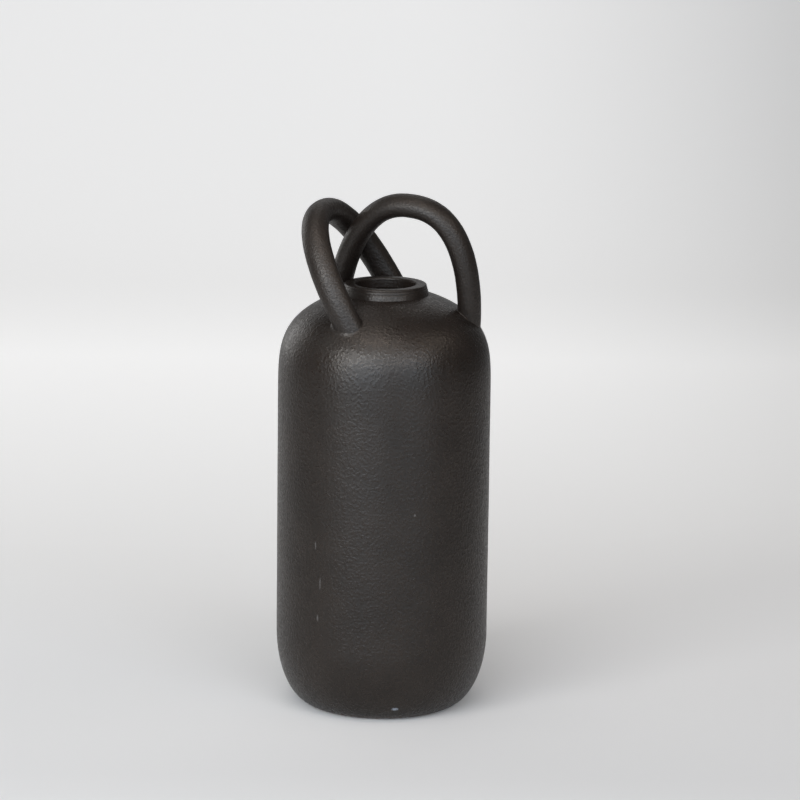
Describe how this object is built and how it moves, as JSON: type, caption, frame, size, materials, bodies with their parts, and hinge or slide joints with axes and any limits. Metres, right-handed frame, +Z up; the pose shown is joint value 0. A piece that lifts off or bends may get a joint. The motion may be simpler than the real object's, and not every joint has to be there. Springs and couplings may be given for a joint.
{
  "type": "vase",
  "caption": "Tall bottle-shaped ceramic vase with a rounded shoulder, a low sloping collar and interlocking hand-rolled arched handles standing on the shoulder.",
  "frame": {"origin": "centre of the foot, on the surface that the vase stands on", "axes": "+Z up along the axis of the pot; -Y is the front, the side that the picture shows; +X to the right of that side"},
  "size_m": [0.13, 0.13, 0.3172],
  "materials": {
    "black_glaze": "matt black glaze with a fine orange-peel grain, bare clay at the foot",
    "collar_glaze": "matt black glaze, worn paler on the lip",
    "handle_glaze": "matt black glaze over hand-rolled clay",
    "joint_slip": "matt black glaze over wiped joining slip"
  },
  "bodies": {
    "root": {"vase_body": "black_glaze", "neck_collar": "collar_glaze", "handle_left": "handle_glaze", "handle_right": "handle_glaze", "slip_left_front": "joint_slip", "slip_left_back": "joint_slip", "slip_right_front": "joint_slip", "slip_right_back": "joint_slip"}
  },
  "joints": []
}
